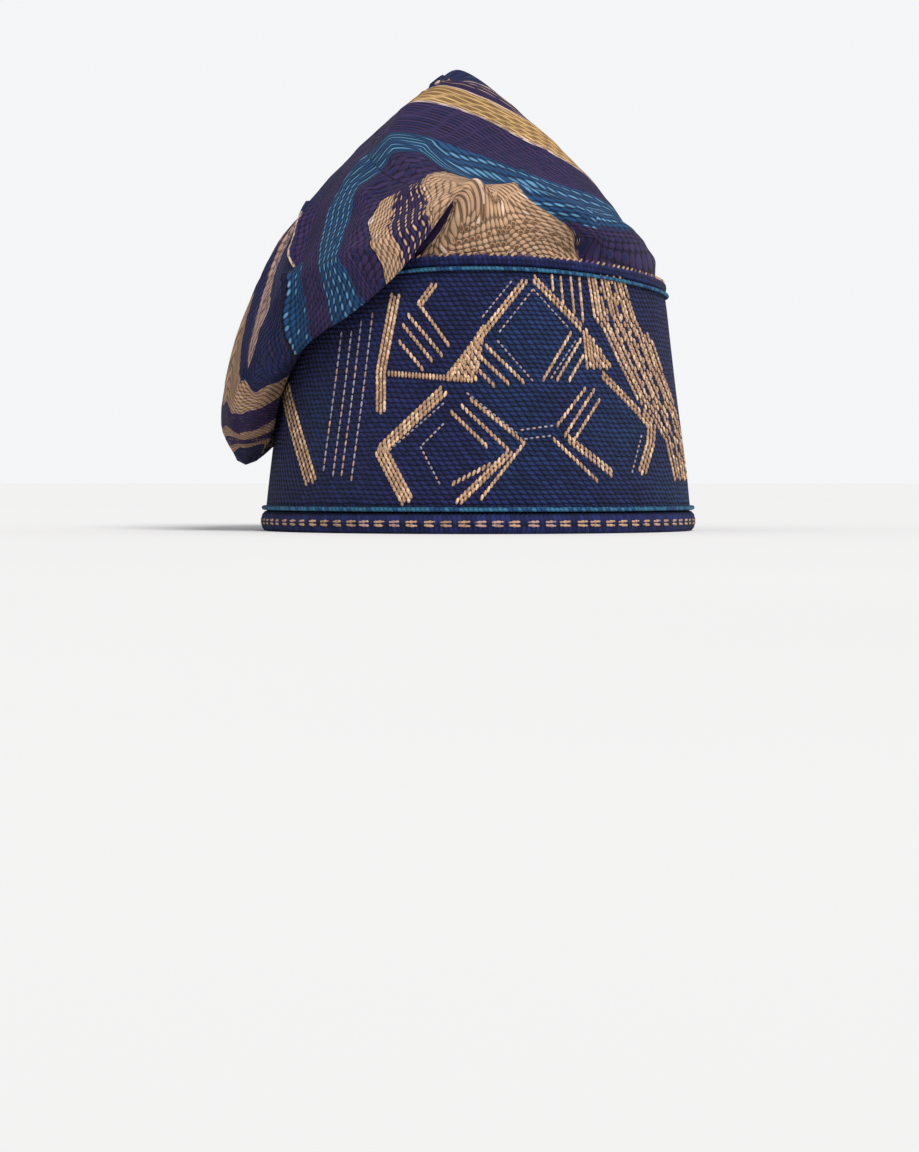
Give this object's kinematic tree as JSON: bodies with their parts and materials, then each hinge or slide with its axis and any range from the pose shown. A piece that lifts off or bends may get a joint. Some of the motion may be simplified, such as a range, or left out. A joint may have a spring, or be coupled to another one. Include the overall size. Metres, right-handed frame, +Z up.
{
  "type": "fila cap",
  "caption": "Soft woven cap with a tall striped crown that folds over to one side of a stiff brocade band with a corded hem.",
  "frame": {"origin": "under the middle of the whole cap, on the surface that its rim stands on", "axes": "+Z up out of the crown, -Y to the front of the cap, -X to the wearer's right, where the crown falls"},
  "size_m": [0.1994, 0.2108, 0.1945],
  "materials": {
    "striped_cloth": "thick striped weave",
    "brocade": "raised woven pattern on a dark ground",
    "hem_cloth": "ribbed cord",
    "welt_cloth": "ribbed cord"
  },
  "bodies": {
    "root": {"crown": "striped_cloth", "band": "brocade", "hem_roll": "hem_cloth", "top_welt": "welt_cloth"}
  },
  "joints": []
}
